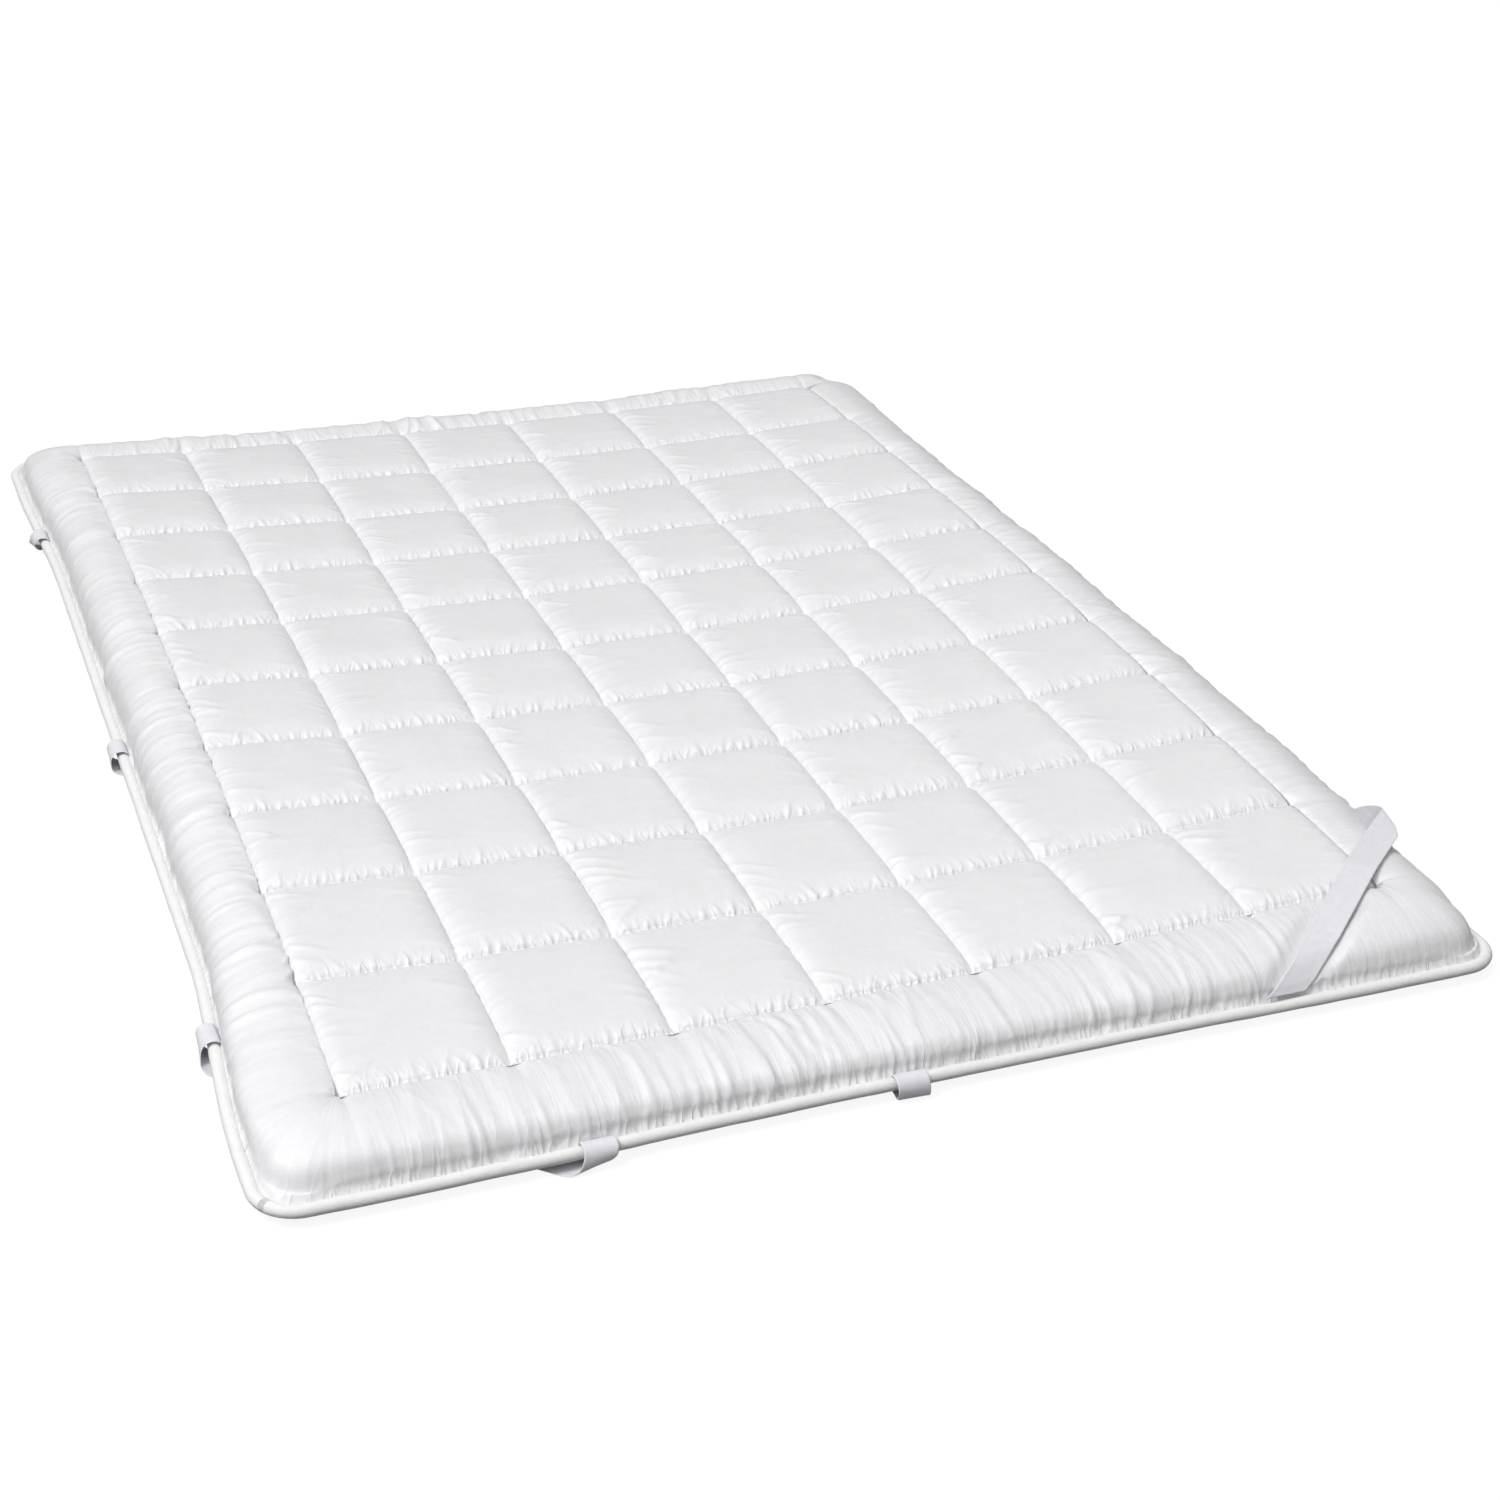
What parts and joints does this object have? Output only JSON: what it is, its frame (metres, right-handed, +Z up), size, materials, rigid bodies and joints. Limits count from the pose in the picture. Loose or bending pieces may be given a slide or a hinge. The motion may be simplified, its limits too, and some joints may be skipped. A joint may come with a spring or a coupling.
{
  "type": "mattress topper",
  "caption": "Quilted filled mattress topper with square sewn cells, a plain puffed border, round piped edge, elastic corner straps and short tape loops",
  "frame": {"origin": "on the resting plane, under the middle of the whole topper's bounding box", "axes": "+X across the width to the side whose foot strap is turned up, +Y along the length to the head end, +Z up out of the quilted face"},
  "size_m": [1.424, 2.0109, 0.0935],
  "materials": {
    "white_cotton": "fine satin weave, soft sheen",
    "piping_cotton": "plain weave bias binding, matte",
    "white_elastic": "ribbed elastic tape, matte"
  },
  "bodies": {
    "root": {"pad": "white_cotton", "piping": "piping_cotton", "strap_foot_left": "white_elastic", "strap_foot_right": "white_elastic", "strap_head_left": "white_elastic", "strap_head_right": "white_elastic", "loop_left": "white_elastic", "loop_right": "white_elastic", "loop_foot": "white_elastic", "loop_head": "white_elastic"}
  },
  "joints": []
}
